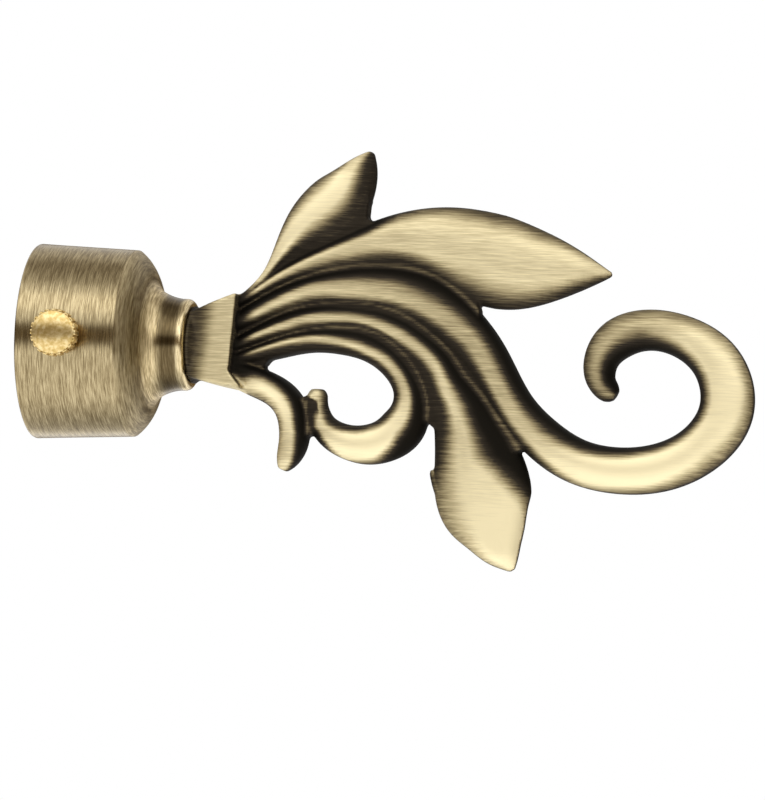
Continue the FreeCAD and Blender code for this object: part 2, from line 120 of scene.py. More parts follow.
# Points of an arc of the given radius between two points (along, radius) of a turned profile.
# The bow is 1 where the arc bulges away from the axis and -1 where it is hollow.
def arcBetween(start, end, radius, bow, steps):
    start, end = np.array(start, float), np.array(end, float)
    chord = end - start
    length = np.hypot(*chord)
    away = np.array([-chord[1], chord[0]]) / length
    if away[1] < 0:
        away = -away
    middle = (start + end) / 2
    centre = middle - bow * away * math.sqrt(radius ** 2 - length ** 2 / 4)
    first = math.atan2(*(start - centre)[::-1])
    last = math.atan2(*(end - centre)[::-1])
    turn = (last - first + math.pi) % (2 * math.pi) - math.pi
    angles = first + turn * np.linspace(0, 1, steps + 1)
    return [(centre[0] + radius * math.cos(a), centre[1] + radius * math.sin(a)) for a in angles]


def onPoleAxis(along, a, b):
    return along, -a, b


# A turned piece: a closed profile of (along, radius) points swept round an axis, which asPoint puts in place.
def turned(name, profile, steps, asPoint=onPoleAxis):
    points, faces, rings = [], [], []
    for along, radius in profile:
        count = steps if radius > 1e-6 else 1
        rings.append((len(points), count))
        for i in range(count):
            angle = 2 * math.pi * i / steps
            points.append(asPoint(along, radius * math.cos(angle), radius * math.sin(angle)))
    for (a, countA), (b, countB) in zip(rings, rings[1:] + rings[:1]):
        for i in range(steps):
            j = (i + 1) % steps
            corners = [a + i % countA, a + j % countA, b + j % countB, b + i % countB]
            corners = list(dict.fromkeys(corners))
            if len(corners) > 2:
                faces.append(corners)
    mesh = meshFrom(name, np.array(points) * mm, faces)
    facesOutward(mesh)
    return newObject(name, mesh)


# Materials: a small way to write node trees

def addNode(tree, kind, values=None, **settings):
    node = tree.nodes.new(kind)
    for name, value in settings.items():
        setattr(node, name, value)
    for name, value in (values or {}).items():
        if isinstance(value, bpy.types.NodeSocket):
            tree.links.new(value, node.inputs[name])
        else:
            node.inputs[name].default_value = value
    return node


def newMaterial(name):
    material = bpy.data.materials.new(name)
    material.use_nodes = True
    tree = material.node_tree
    tree.nodes.clear()
    output = addNode(tree, "ShaderNodeOutputMaterial")
    shader = addNode(tree, "ShaderNodeBsdfPrincipled")
    tree.links.new(shader.outputs["BSDF"], output.inputs["Surface"])
    return material, tree, shader


def maths(tree, operation, *values, clamp=False):
    node = addNode(tree, "ShaderNodeMath", operation=operation, use_clamp=clamp)
    for socket, value in zip(node.inputs, values):
        if isinstance(value, bpy.types.NodeSocket):
            tree.links.new(value, socket)
        else:
            socket.default_value = value
    return node.outputs[0]


def between(tree, value, low, high, toLow=0.0, toHigh=1.0):
    node = addNode(tree, "ShaderNodeMapRange", {
        "Value": value, "From Min": low, "From Max": high, "To Min": toLow, "To Max": toHigh,
    }, interpolation_type="SMOOTHSTEP")
    return node.outputs["Result"]


# Rises from low to high over the span's first two places and falls back over its last two.
def plateau(tree, value, span, low, high):
    start, full, fullEnd, end = span
    return maths(tree, "MINIMUM", between(tree, value, start, full, low, high),
                 between(tree, value, fullEnd, end, high, low))


def ramp(tree, value, stops):
    node = addNode(tree, "ShaderNodeValToRGB", {"Fac": value})
    colours = node.color_ramp.elements
    while len(colours) < len(stops):
        colours.new(0.5)
    for element, (place, colour) in zip(colours, stops):
        element.position = place
        element.color = (*colour, 1)
    return node.outputs["Color"]


strokeNoise = {"Scale": 1.0, "Detail": 3.0, "Roughness": 0.6}
bumpDistance = 0.1 * mm


# Fine strokes: noise that changes slowly along them and fast across them.
def strokes(tree, scale, turn=(0, 0, 0)):
    coords = addNode(tree, "ShaderNodeTexCoord").outputs["Object"]
    mapped = addNode(tree, "ShaderNodeMapping", {"Vector": coords, "Rotation": turn, "Scale": scale})
    noise = addNode(tree, "ShaderNodeTexNoise", {"Vector": mapped.outputs["Vector"], **strokeNoise})
    return noise.outputs["Fac"]


# Wide and fine brush strokes together.
def brushStrokes(tree, look):
    turn = (0, look["strokeTilt"], 0)
    wide = maths(tree, "MULTIPLY", strokes(tree, look["strokeScale"], turn), 1 - look["fineShare"])
    fine = maths(tree, "MULTIPLY", strokes(tree, look["fineScale"], turn), look["fineShare"])
    return maths(tree, "ADD", wide, fine)


def dressShader(tree, shader, colour, roughness, bump=0, height=None):
    shader.inputs["Metallic"].default_value = 1.0
    tree.links.new(colour, shader.inputs["Base Color"])
    if isinstance(roughness, bpy.types.NodeSocket):
        tree.links.new(roughness, shader.inputs["Roughness"])
    else:
        shader.inputs["Roughness"].default_value = roughness
    if bump:
        raised = addNode(tree, "ShaderNodeBump", {
            "Strength": bump, "Distance": bumpDistance, "Height": height})
        tree.links.new(raised.outputs["Normal"], shader.inputs["Normal"])


antiqueBrass = {
    "stops": [  # from the dark patina in the valleys to the brushed crests
        (0.0, (0.014, 0.012, 0.009)),
        (0.25, (0.045, 0.036, 0.026)),
        (0.45, (0.15, 0.118, 0.068)),
        (0.65, (0.36, 0.295, 0.165)),
        (0.85, (0.66, 0.565, 0.345)),
        (1.0, (0.96, 0.855, 0.565)),
    ],
    "strokeTilt": math.radians(7),
    "strokeScale": (200, 400, 4200),
    "strokeDepth": 0.62,
    "strokeFloor": 0.4,
    "fullPolish": 0.9,
    "fineScale": (260, 900, 8000),
    "fineShare": 0.4,
    "roughness": 0.56,
    "patinaRoughness": 0.66,
    "roughSpan": (0.1, 0.9),
    "bump": 0.10,
}


def makeAntiqueBrass():
    look = antiqueBrass
    material, tree, shader = newMaterial("antique_brass_leaf")
    polishAndPaintedLight = addNode(tree, "ShaderNodeAttribute", attribute_name="polishAndPaintedLight").outputs["Fac"]
    streak = brushStrokes(tree, look)
    # The strokes show most where the brush only half reached.
    half = maths(tree, "MULTIPLY", polishAndPaintedLight, maths(tree, "SUBTRACT", 1.0, polishAndPaintedLight))
    depth = maths(tree, "ADD", maths(tree, "MULTIPLY", half, 4 * (1 - look["strokeFloor"])),
                  maths(tree, "MULTIPLY", polishAndPaintedLight, look["strokeFloor"]))
    shift = maths(tree, "MULTIPLY", maths(tree, "SUBTRACT", streak, 0.5),
                  maths(tree, "MULTIPLY", depth, look["strokeDepth"] * 2))
    reach = maths(tree, "ADD", maths(tree, "MULTIPLY", polishAndPaintedLight, look["fullPolish"]), shift, clamp=True)
    rough = between(tree, reach, *look["roughSpan"], look["patinaRoughness"], look["roughness"])
    dressShader(tree, shader, ramp(tree, reach, look["stops"]), rough, look["bump"], streak)
    return material


capBrass = {
    "stops": [
        (0.0, (0.035, 0.024, 0.010)),
        (0.3, (0.165, 0.118, 0.056)),
        (0.65, (0.37, 0.292, 0.16)),
        (1.0, (0.62, 0.51, 0.305)),
    ],
    "strokeScale": (4200, 200, 200),
    "fineScale": (9000, 500, 500),
    "fineShare": 0.55,
    "streakSpan": (0.3, 0.7),
    "roughness": 0.21,
    "shoulderRoughness": 0.42,
    "shoulderSpan": (0.0155, 0.0170, 0.0200, 0.0215),
    "bump": 0.12,
    "strokeTilt": math.radians(8),
    "darkest": 0.3,
    # painted shade in the cove and a painted highlight on the nose past it
    "coveShade": 0.44,
    "coveSpan": (0.0206, 0.0222, 0.0236, 0.0246),
    "noseHighlight": 1.35,
    # painted reflections: a dark ring at the barrel's edge, painted highlights on the shoulder and the nose's
    # rim
    "edgeShadeSpan": (0.0160, 0.0174),
    "edgeShadeLevel": 0.78,
    "shoulderHighlightSpan": (0.0184, 0.0198, 0.0206, 0.0218),
    "shoulderHighlightGain": 0.65,
    "rimHighlightSpan": (0.0240, 0.0249),
    "rimHighlightGain": 0.6,
}


def makeCapBrass():
    look = capBrass
    material, tree, shader = newMaterial("antique_brass_cap")
    streak = brushStrokes(tree, look)
    tone = between(tree, streak, *look["streakSpan"], look["darkest"], 1.0)
    coords = addNode(tree, "ShaderNodeTexCoord").outputs["Object"]
    along = addNode(tree, "ShaderNodeSeparateXYZ", {"Vector": coords}).outputs["X"]
    # Painted shade: darker in the cove, rising to a painted highlight past it on the nose.
    start, dark, darkEnd, end = look["coveSpan"]
    paintedShading = maths(tree, "MAXIMUM", between(tree, along, start, dark, 1.0, look["coveShade"]),
                  between(tree, along, darkEnd, end, look["coveShade"], look["noseHighlight"]))
    colour = ramp(tree, maths(tree, "MULTIPLY", tone, paintedShading), look["stops"])
    # Painted reflections: a dark ring at the barrel's edge, and painted highlights on the shoulder and the
    # nose's rim.
    level = between(tree, along, *look["edgeShadeSpan"], 1.0, look["edgeShadeLevel"])
    shoulderHighlight = maths(tree, "MULTIPLY", plateau(tree, along, look["shoulderHighlightSpan"], 0.0, 1.0), look["shoulderHighlightGain"])
    level = maths(tree, "ADD", level, shoulderHighlight)
    level = maths(tree, "ADD", level, between(tree, along, *look["rimHighlightSpan"], 0.0, look["rimHighlightGain"]))
    colour = addNode(tree, "ShaderNodeVectorMath", {0: colour, "Scale": level}, operation="SCALE").outputs[0]
    # The shoulder is brushed a little coarser than the barrel and the nose.
    rough = plateau(tree, along, look["shoulderSpan"], look["roughness"], look["shoulderRoughness"])
    dressShader(tree, shader, colour, rough, look["bump"], streak)
    return material


brightBrass = {
    "stops": [(0.0, (0.56, 0.39, 0.13)), (0.5, (0.72, 0.53, 0.23)), (1.0, (0.86, 0.69, 0.36))],
    "grainScale": 1500,
    "grainSpan": (0.3, 0.7),
    "roughness": 0.30,
    "bump": 0.15,
}


def makeBrightBrass():
    look = brightBrass
    material, tree, shader = newMaterial("bright_brass")
    grain = strokes(tree, (look["grainScale"],) * 3)
    colour = ramp(tree, between(tree, grain, *look["grainSpan"]), look["stops"])
    dressShader(tree, shader, colour, look["roughness"], look["bump"], grain)
    return material


platedSteel = {
    "stops": [(0.0, (0.42, 0.42, 0.40)), (1.0, (0.66, 0.66, 0.64))],
    "grainScale": 1200,
    "grainSpan": (0.3, 0.7),
    "roughness": 0.28,
}


def makePlatedSteel():
    look = platedSteel
    material, tree, shader = newMaterial("plated_steel")
    grain = strokes(tree, (look["grainScale"],) * 3)
    colour = ramp(tree, between(tree, grain, *look["grainSpan"]), look["stops"])
    dressShader(tree, shader, colour, look["roughness"])
    return material


# Socket cap: turned, with a bore for the pole, a bowed shoulder, a hollow cove and a rounded nose

cap = {
    "boreRadius": 14.2,
    "boreDepth": 15.0,
    "mouthRadius": 15.5,
    "mouthRound": 0.35,
    "barrelLength": 16.0,
    "barrelRings": (4.0, 8.0, 12.0),
    "shoulderRadius": 14.85,
    "shoulderBow": 7.7,
    "creaseX": 18.9,
    "creaseRadius": 9.4,
    "creaseReach": 3,  # points on each side that the softened crease takes the place of
    "coveBow": 8.2,
    "coveEndX": 23.6,
    "noseRadius": 7.3,
    "noseRound": 1.0,
    "length": 25.4,
    "recessRadius": 5.5,
    "recessEnd": 21.6,
    "holeRadius": 2.7,
    "screwX": 7.4,  # the threaded hole for the thumb screw
    "screwHoleRadius": 2.05,
    "screwHoleFrom": 12,
    "screwHoleTo": 17,
    "screwHoleSteps": 48,
    "steps": 256,
    "sharpAngle": 32,
}
arcSlack = 1.001  # a rounded edge's radius over its width


def makeCap():
    c = cap
    mouth, shoulderStart = (c["mouthRound"], c["mouthRadius"]), (c["barrelLength"], c["shoulderRadius"])
    crease, coveEnd = (c["creaseX"], c["creaseRadius"]), (c["coveEndX"], c["noseRadius"])
    profile = arcBetween((0, c["mouthRadius"] - c["mouthRound"]), mouth, c["mouthRound"] * arcSlack,
                         bow=1, steps=5)
    profile += [(x, c["mouthRadius"] + (c["shoulderRadius"] - c["mouthRadius"]) * x / c["barrelLength"])
                for x in c["barrelRings"]]
    shoulder = arcBetween(shoulderStart, crease, c["shoulderBow"], bow=1, steps=14)
    cove = arcBetween(crease, coveEnd, c["coveBow"], bow=-1, steps=10)
    # The crease between them is softened by the polishing.
    reach = c["creaseReach"]
    before, corner, after = (np.array(p) for p in (shoulder[-1 - reach], shoulder[-1], cove[reach]))
    soft = [tuple((1 - t) ** 2 * before + 2 * t * (1 - t) * corner + t * t * after)
            for t in np.linspace(0, 1, 12)]
    profile += shoulder[:-1 - reach] + soft + cove[reach + 1:]
    profile += arcBetween((c["length"] - c["noseRound"], c["noseRadius"]),
                          (c["length"], c["noseRadius"] - c["noseRound"]),
                          c["noseRound"] * arcSlack, bow=1, steps=7)
    profile += [(c["length"], c["holeRadius"]), (c["recessEnd"], c["holeRadius"]),
                (c["recessEnd"], c["recessRadius"]), (c["boreDepth"], c["recessRadius"]),
                (c["boreDepth"], c["boreRadius"]), (0, c["boreRadius"])]
    obj = turned("cap_turned", profile, c["steps"])
    hole = [(c["screwHoleFrom"], 0), (c["screwHoleFrom"], c["screwHoleRadius"]),
            (c["screwHoleTo"], c["screwHoleRadius"]), (c["screwHoleTo"], 0)]
    cutWith(obj, turned("screw_hole", hole, c["screwHoleSteps"],
                        lambda along, a, b: (c["screwX"] + a, -along, b)))
    smoothShading(obj, c["sharpAngle"])
    return obj


socketCap = makeCap()
finish(socketCap, makeCapBrass(), "finial", "antique_brass", "socket_cap")
print("socket cap made")


# Thumb screw: a knurled head whose ridges are copies round a ring, a domed face and a short thread

thumb = {
    "shankRadius": 2.0,
    "shankInset": 0.15,  # how far the plain shank lies under the thread
    "tipChamfer": 0.3,
    "reach": 3.0,
    "tipY": 14.3,
    "headRadius": 3.75,
    "headHeight": 2.4,
    "edgeRound": 0.12,
    "rim": [(-0.3, 0.0), (-0.08, -0.04), (-0.02, -0.12)],  # rounded edge, from the head's top and core
    "domeHeight": 0.6,
    "domeBow": 7.6,
    "knurls": 20,
    "knurlWidth": 0.8,
    "knurlDepth": 0.27,
    "knurlBody": 0.62,
    "knurlBevel": 0.2,
    "threadPitch": 0.7,
    "threadDepth": 0.2,
    "threadInset": 0.25,
    "steps": 96,
    "sharpAngle": 40,
}


def nodeGroup(name, inputs):
    tree = bpy.data.node_groups.new(name, "GeometryNodeTree")
    tree.interface.new_socket("Geometry", in_out="INPUT", socket_type="NodeSocketGeometry")
    for label, kind, value in inputs:
        socket = tree.interface.new_socket(label, in_out="INPUT", socket_type=kind)
        if value is not None:
            socket.default_value = value
    tree.interface.new_socket("Geometry", in_out="OUTPUT", socket_type="NodeSocketGeometry")
    return tree, addNode(tree, "NodeGroupInput"), addNode(tree, "NodeGroupOutput")


def dressResult(tree, given, result, shape):
    real = addNode(tree, "GeometryNodeRealizeInstances", {"Geometry": shape.outputs[0]})
    dressed = addNode(tree, "GeometryNodeSetMaterial", {
        "Geometry": real.outputs[0], "Material": given.outputs["Material"]})
    tree.links.new(dressed.outputs[0], result.inputs[0])


# Ridges round a ring: the input shape is copied evenly round the local Z axis.
def ridgesTree(material):
    tree, given, result = nodeGroup("ridges_round_a_ring", [
        ("Count", "NodeSocketInt", 18),
        ("Radius", "NodeSocketFloat", 0.003),
        ("Material", "NodeSocketMaterial", material),
    ])
    ring = addNode(tree, "GeometryNodeMeshCircle", {
        "Vertices": given.outputs["Count"], "Radius": given.outputs["Radius"]})
    place = addNode(tree, "GeometryNodeInputPosition")
    facing = addNode(tree, "FunctionNodeAlignRotationToVector", {"Vector": place.outputs[0]},
                     axis="X", pivot_axis="Z")
    copies = addNode(tree, "GeometryNodeInstanceOnPoints", {
        "Points": ring.outputs["Mesh"], "Instance": given.outputs["Geometry"], "Rotation": facing.outputs[0]})
    dressResult(tree, given, result, copies)
    return tree


# Thread: a helix with a small triangular section along it.
def threadTree(material):
    tree, given, result = nodeGroup("screw_thread", [
        ("Turns", "NodeSocketFloat", 4.0),
        ("Radius", "NodeSocketFloat", 0.002),
        ("Length", "NodeSocketFloat", 0.003),
        ("Depth", "NodeSocketFloat", 0.0003),
        ("Material", "NodeSocketMaterial", material),
    ])
    helix = addNode(tree, "GeometryNodeCurveSpiral", {
        "Resolution": 48, "Rotations": given.outputs["Turns"], "Start Radius": given.outputs["Radius"],
        "End Radius": given.outputs["Radius"], "Height": given.outputs["Length"]})
    section = addNode(tree, "GeometryNodeCurvePrimitiveCircle", {
        "Resolution": 3, "Radius": given.outputs["Depth"]})
    ridge = addNode(tree, "GeometryNodeCurveToMesh", {
        "Curve": helix.outputs[0], "Profile Curve": section.outputs[0], "Fill Caps": True})
    dressResult(tree, given, result, ridge)
    return tree


def growNodes(obj, tree, values):
    step = obj.modifiers.new(tree.name, "NODES")
    step.node_group = tree
    sockets = {s.name: s.identifier for s in tree.interface.items_tree if s.in_out == "INPUT"}
    for name, value in values.items():
        step[sockets[name]] = value
    bakeModifiers(obj)


# One ridge of the knurling, upright and with its edges rounded.
def ridgeMesh():
    t = thumb
    size = Vector((t["knurlBody"], t["knurlWidth"], t["headHeight"] - t["edgeRound"])) * mm
    work = bmesh.new()
    bmesh.ops.create_cube(work, size=1)
    bmesh.ops.scale(work, vec=size, verts=work.verts)
    bmesh.ops.translate(work, vec=(0, 0, t["headHeight"] / 2 * mm), verts=work.verts)
    bmesh.ops.bevel(work, geom=work.edges[:], offset=t["knurlBevel"] * mm, segments=3, profile=0.5,
                    affect="EDGES")
    mesh = bpy.data.meshes.new("ridge")
    work.to_mesh(mesh)
    work.free()
    return mesh


def makeThumbScrew(material):
    t = thumb
    underside = t["tipY"] + t["reach"]
    core = t["headRadius"] - t["knurlDepth"]
    shank = t["shankRadius"] - t["shankInset"]
    rim = [(t["headHeight"] + up, core + out) for up, out in t["rim"]]
    profile = [(-t["reach"], 0), (-t["reach"], shank - t["tipChamfer"]),
               (-t["reach"] + t["tipChamfer"], shank), (0, shank),
               (0, core - t["edgeRound"]), (t["edgeRound"], core)]
    middle = (t["headHeight"] + t["domeHeight"], 0.0)
    profile += rim[:-1] + arcBetween(rim[-1], middle, t["domeBow"], bow=1, steps=12)
    head = turned("thumb_core", profile, t["steps"], lambda along, a, b: (a, b, along))
    smoothShading(head, t["sharpAngle"])
    ridges = newObject("thumb_ridges", ridgeMesh())
    growNodes(ridges, ridgesTree(material), {
        "Count": t["knurls"], "Radius": (t["headRadius"] - t["knurlBody"] / 2) * mm})
    thread = newObject("thumb_thread", meshFrom("thumb_thread", [], []))
    length = t["reach"] - 2 * t["threadInset"]
    growNodes(thread, threadTree(material), {
        "Turns": length / t["threadPitch"], "Radius": (t["shankRadius"] - t["threadDepth"]) * mm,
        "Length": length * mm, "Depth": t["threadDepth"] * mm})
    thread.data.transform(Matrix.Translation((0, 0, (t["threadInset"] - t["reach"]) * mm)))
    work = bmesh.new()
    for part in (head, ridges, thread):
        work.from_mesh(part.data)
        bpy.data.objects.remove(part)
    joined = bpy.data.meshes.new("thumb_screw_turned")
    work.to_mesh(joined)
    work.free()
    upright = Matrix.Rotation(math.pi / 2, 4, "X")
    joined.transform(Matrix.Translation(Vector((cap["screwX"], -underside, 0)) * mm) @ upright)
    obj = newObject("thumb_screw_turned", joined)
    smoothShading(obj, t["sharpAngle"])
    return obj


brass = makeBrightBrass()
thumbScrew = makeThumbScrew(brass)
finish(thumbScrew, brass, "thumb_screw", "bright_brass", "thumb_screw")
print("thumb screw made")


# Scroll leaf. Each rib follows stations (x, z, half width, crest, hollow) along its centre line, as a
# pattern maker would draw it. The crest is where the ridge stands between the left edge (-1) and the right
# edge (1), seen on the way from root to tip, and the hollow is how much the right flank is dished.
# A row of patina is (share of the way, dark until, bright from, bright until, dark from, level), with the
# places across the rib in the same measure. The dark flanks are partly real patina and partly painted shade,
# and the level is how bright the brushing is with painted highlight and shade in it, and 1 if it isn't given.

leaf = {
    "webHalfDepth": 1.6,
    "rootHalfDepth": 3.4,
    "fullHalfDepth": 4.5,
    "rise": 7.0,
    "widthToDepthLimit": 0.95,
    "narrowRibExtra": 2.6,
    "narrowRibLength": 26.0,
    "voxel": 0.316,
    "softening": 0.5,
    "softenSteps": 2,
    "sectionPoints": 44,
    "stationStep": 0.5,
}
ribs = {
    "upperLeaflet": {
        "endHalfDepth": 2.6,
        "stations": [
            (30.8, 5.4, 0.6), (33.9, 8.0, 0.6), (36.9, 11.0, 0.8), (40.0, 15.6, 2.0), (43.8, 19.7, 4.2),
            (48.8, 24.0, 4.8), (51.1, 27.2, 3.5), (52.7, 30.2, 1.6), (53.3, 31.4, 0.5),
        ],
        "patinaAndPaintedLight": [
            (0.0, -1.4, -0.9, -0.1, 0.6), (0.12, -1.4, -0.8, -0.2, 0.4), (0.22, -1.4, -0.6, 0.2, 0.75),
            (0.4, -1.35, -0.4, 0.2, 0.7, 1.08), (0.54, -1.35, -0.3, 0.0, 0.65, 1.1),
            (0.75, -1.35, -0.35, 0.0, 0.65, 1.1), (0.82, -1.35, -0.5, -0.1, 0.55, 1.1),
            (0.89, -1.35, -0.6, -0.3, 0.5), (1.0, -1.5, -1.0, -0.8, 0.2),
        ],
    },
    "rightLeaf": {
        "endHalfDepth": 2.6,
        "paintedHighlightLine": False,
        "stations": [
            (30.6, 5.6, 0.8), (34.0, 7.3, 0.8), (39.1, 10.6, 1.4), (44.2, 13.3, 2.0), (50.4, 15.7, 2.8),
            (58.4, 17.6, 4.2), (66.7, 16.8, 6.3), (75.0, 14.3, 7.4), (83.2, 13.4, 5.4), (88.0, 13.1, 3.2),
            (91.1, 12.9, 1.5), (93.2, 12.8, 0.3),
        ],
        "patinaAndPaintedLight": [
            (0.0, -0.9, -0.25, -0.05, 0.4), (0.12, -0.9, -0.25, -0.05, 0.4),
            (0.19, -0.65, -0.2, 0.0, 0.55), (0.26, -0.65, -0.2, -0.15, 0.85),
            (0.33, -0.65, -0.2, -0.1, 1.05), (0.4, -0.7, -0.25, 0.1, 1.0, 0.97),
            (0.47, -1.2, -0.45, 0.3, 0.9, 0.96), (0.54, -1.4, -0.5, 0.35, 0.85, 0.98),
            (0.68, -1.4, -0.4, 0.32, 0.9), (0.75, -1.4, -0.5, 0.34, 1.05), (0.82, -1.4, -0.5, 0.34, 1.1),
            (0.89, -1.4, -0.6, 0.26, 1.05), (1.0, -1.8, -0.8, -0.2, 0.95),
        ],
    },
    "stemScroll": {
        "endHalfDepth": 3.3,
        "stations": [
            (30.6, 2.4, 1.6), (33.8, 4.2, 1.6), (39.2, 7.1, 2.0), (44.4, 9.2, 2.2), (50.6, 10.1, 2.9),
            (56.5, 10.1, 3.3), (62.8, 8.3, 3.95), (68.9, 3.9, 4.0), (72.9, -0.5, 3.7), (78.5, -8.9, 3.3),
            (82.7, -13.2, 3.5), (88.6, -16.8, 3.6), (95.0, -18.1, 3.7), (102.3, -17.4, 3.9),
            (108.3, -14.4, 4.1), (112.4, -8.2, 4.4), (110.5, -0.7, 4.0), (104.6, 3.4, 3.4),
            (98.3, 4.1, 3.3), (93.9, 2.2, 3.3), (91.9, -0.9, 2.8), (92.0, -3.8, 2.4), (92.8, -5.1, 2.1),
            (93.9, -5.9, 1.7), (94.6, -6.3, 1.0),
        ],
        "patinaAndPaintedLight": [
            (0.0, -0.4, 0.15, 0.25, 0.95), (0.05, -0.4, 0.15, 0.25, 0.95),
            (0.12, -0.6, -0.05, 0.15, 1.3, 0.95), (0.19, -0.65, 0.1, 0.6, 1.1, 0.86),
            (0.26, -0.65, 0.15, 0.4, 0.85, 0.86), (0.33, -0.85, -0.15, 0.1, 0.6, 0.84),
            (0.4, -0.75, -0.1, 0.25, 0.7, 0.86), (0.47, -0.85, 0.1, 0.35, 0.85, 0.98),
            (0.54, -0.9, -0.2, 0.7, 1.3, 1.12), (0.61, -1.0, -0.4, 0.6, 1.2, 1.12),
            (0.68, -1.0, -0.4, 0.2, 1.3, 1.1), (0.75, -1.0, -0.4, 0.6, 1.3, 1.1),
            (0.82, -0.95, -0.3, 0.2, 1.9, 1.03), (0.89, -0.95, 0.3, -0.8, 2.6),
            (0.94, -0.75, 0.05, 0.1, 1.4, 0.86), (1.0, -0.5, 0.1, 0.25, 1.1, 0.66),
        ],
    },
    "lowerLeaf": {
        "endHalfDepth": 2.6,
        "stations": [
            (30.6, -1.4, 1.3), (34.6, 0.9, 1.3), (39.6, 3.1, 1.8), (44.6, 4.8, 1.9), (50.8, 5.3, 2.0),
            (54.6, 4.8, 2.2), (58.2, 3.6, 2.4), (62.5, 0.7, 2.7), (65.4, -2.4, 3.2, 0.0, 0.1),
            (67.2, -5.8, 3.8, 0.0, 0.2), (69.4, -9.5, 4.7, -0.15, 0.3), (71.1, -13.5, 5.9, -0.2, 0.3),
            (72.4, -17.1, 7.1, -0.1, 0.2), (73.5, -21.1, 7.8, 0.0, 0.1), (74.5, -25.1, 7.3, 0.1),
            (75.9, -28.5, 5.4, 0.2), (77.2, -31.3, 3.5, 0.3), (78.3, -33.2, 1.8, 0.3),
            (79.0, -34.4, 0.5, 0.3),
        ],
        "patinaAndPaintedLight": [
            (0.0, -0.35, 0.0, 0.05, 0.75), (0.12, -0.35, 0.0, 0.05, 0.75),
            (0.19, -0.4, 0.0, 0.1, 1.0, 0.94), (0.26, -0.45, 0.1, 0.35, 1.3, 0.92),
            (0.33, -0.45, 0.15, 0.5, 1.3, 0.9), (0.4, -0.45, 0.15, 0.45, 1.0, 0.92),
            (0.47, -0.55, 0.0, 0.15, 0.7, 0.95), (0.54, -0.6, -0.1, 0.0, 0.5),
            (0.61, -0.65, -0.05, 0.05, 0.5), (0.68, -0.55, 0.0, 0.2, 0.75),
            (0.75, -0.6, 0.1, 0.3, 1.05, 1.06), (0.82, -1.0, -0.4, 0.25, 1.5, 1.08),
            (0.89, -1.3, -0.8, 0.2, 1.6, 1.12), (1.0, -1.9, -1.2, 0.5, 2.2, 1.12),
        ],
    },
    "smallScroll": {
        "endHalfDepth": 2.9,
        "stations": [
            (31.0, -3.0, 1.3), (35.3, -1.6, 1.3), (39.7, -0.2, 1.6), (44.7, 1.0, 1.8), (50.1, 1.2, 2.2),
            (54.0, 0.5, 2.4), (57.0, -1.1, 2.4), (59.4, -3.4, 2.4), (61.0, -6.2, 2.6), (61.3, -9.4, 3.2),
            (60.1, -12.3, 3.7), (57.6, -14.3, 3.5), (54.5, -15.1, 3.2), (51.5, -14.8, 2.8),
            (49.2, -13.9, 2.5), (47.5, -12.5, 2.2), (46.5, -10.3, 1.8), (46.2, -8.2, 1.6),
            (46.1, -7.0, 1.45), (46.1, -6.5, 1.0),
        ],
        "patinaAndPaintedLight": [
            (0.0, -0.85, -0.2, -0.3, 0.25), (0.12, -0.85, -0.2, -0.25, 0.25),
            (0.19, -0.9, -0.2, -0.15, 0.25), (0.26, -0.65, -0.1, 0.0, 0.45), (0.33, -0.45, 0.1, 0.2, 0.6),
            (0.4, -0.4, 0.25, 0.4, 0.75), (0.47, -0.5, 0.05, 0.25, 0.7),
            (0.54, -0.45, 0.0, 0.25, 0.8, 0.92), (0.61, -0.5, -0.05, 0.3, 0.85, 1.02),
            (0.68, -0.6, 0.0, 0.4, 0.8, 1.12), (0.75, -1.3, -0.6, 0.45, 0.95, 1.12),
            (0.82, -1.6, -0.8, 0.35, 0.85, 1.1), (0.89, -0.7, -0.15, 0.1, 0.7),
            (0.96, -1.2, -0.6, 0.0, 1.0), (1.0, -1.4, -0.8, 0.2, 1.3),
        ],
    },
    "lowerLeafBarb": {
        "endHalfDepth": 2.0,
        "narrowRibExtra": 0.0,
        "stations": [(70.5, -27.0, 2.2), (67.8, -22.7, 1.8), (66.2, -20.5, 1.1), (65.0, -18.9, 0.3)],
        "patinaAndPaintedLight": [(0.0, -2.6, -0.4, 3.0, 4.0), (0.5, -2.2, 0.4, 3.0, 4.0), (1.0, -1.6, 1.4, 3.0, 4.0)],
    },
    "tendril": {
        "endHalfDepth": 2.6,
        "stations": [
            (30.2, -3.8, 2.2, -0.35), (32.5, -4.4, 2.2, -0.35), (35.9, -5.6, 2.4, -0.35),
            (39.4, -7.15, 2.5, -0.35), (41.6, -9.3, 2.6, -0.35), (42.5, -12.3, 2.5, -0.35),
            (42.5, -15.2, 2.4, -0.35), (41.8, -17.4, 2.0, -0.35), (41.2, -18.8, 1.35, -0.35),
            (40.9, -19.5, 0.8, -0.35),
        ],
        "patinaAndPaintedLight": [
            (0.0, -0.6, 0.4, 0.8, 1.8), (0.19, -0.4, 0.5, 1.0, 1.9), (0.26, -0.8, 0.1, 0.3, 1.7),
            (0.33, -0.8, -0.1, 0.2, 1.4, 1.08), (0.4, -0.75, -0.05, 0.2, 1.3, 1.1),
            (0.54, -0.6, -0.05, 0.25, 1.4, 1.1), (0.68, -0.5, 0.0, 0.3, 1.4, 1.08),
            (0.82, -0.65, -0.1, 0.5, 1.7), (1.0, -1.3, -0.6, 0.6, 1.9),
        ],
    },
}
